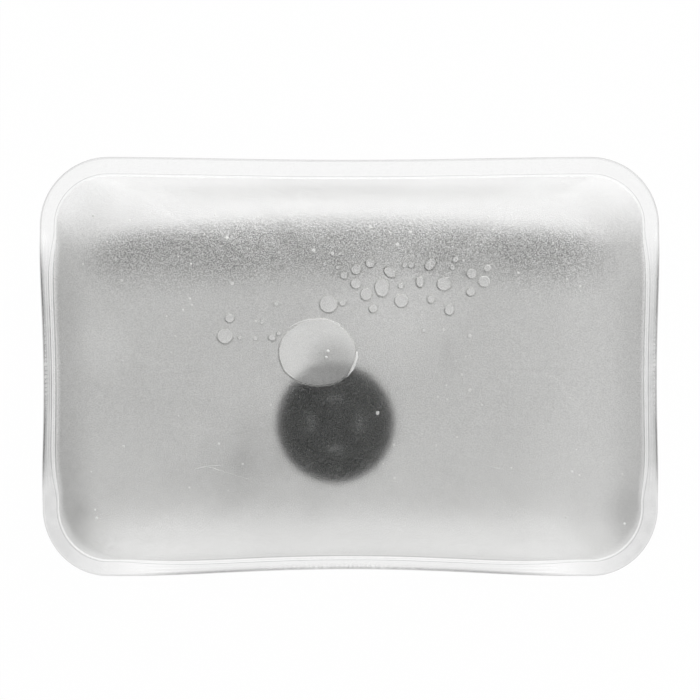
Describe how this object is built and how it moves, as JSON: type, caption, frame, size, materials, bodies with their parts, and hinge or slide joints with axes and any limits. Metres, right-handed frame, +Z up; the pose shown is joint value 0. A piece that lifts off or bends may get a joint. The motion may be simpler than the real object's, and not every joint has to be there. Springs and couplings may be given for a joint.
{
  "type": "reusable hand warmer",
  "caption": "Reusable click hand warmer: a welded clear-film pouch filled with salt solution, air bubbles under its upper film and a loose domed steel clicker disc inside.",
  "frame": {"origin": "under the middle of the pouch, on the surface that its flat underside lies on", "axes": "+X along the pouch's length, +Y across its width towards the picture's upper edge, +Z up through the film that faces the user"},
  "size_m": [0.0952, 0.0644, 0.0128],
  "materials": {
    "clear_film": "satin",
    "salt_solution": "gloss",
    "spring_steel": "satin"
  },
  "bodies": {
    "pouch": {"front_film": "clear_film", "back_film": "clear_film", "solution": "salt_solution"},
    "disc": {"clicker_disc": "spring_steel"}
  },
  "joints": [
    {"name": "disc_drift", "type": "slide", "parent": "pouch", "child": "disc", "axis": [1, 0, 0], "range_m": [-0.024, 0.029], "deforming": ["solution"]}
  ]
}
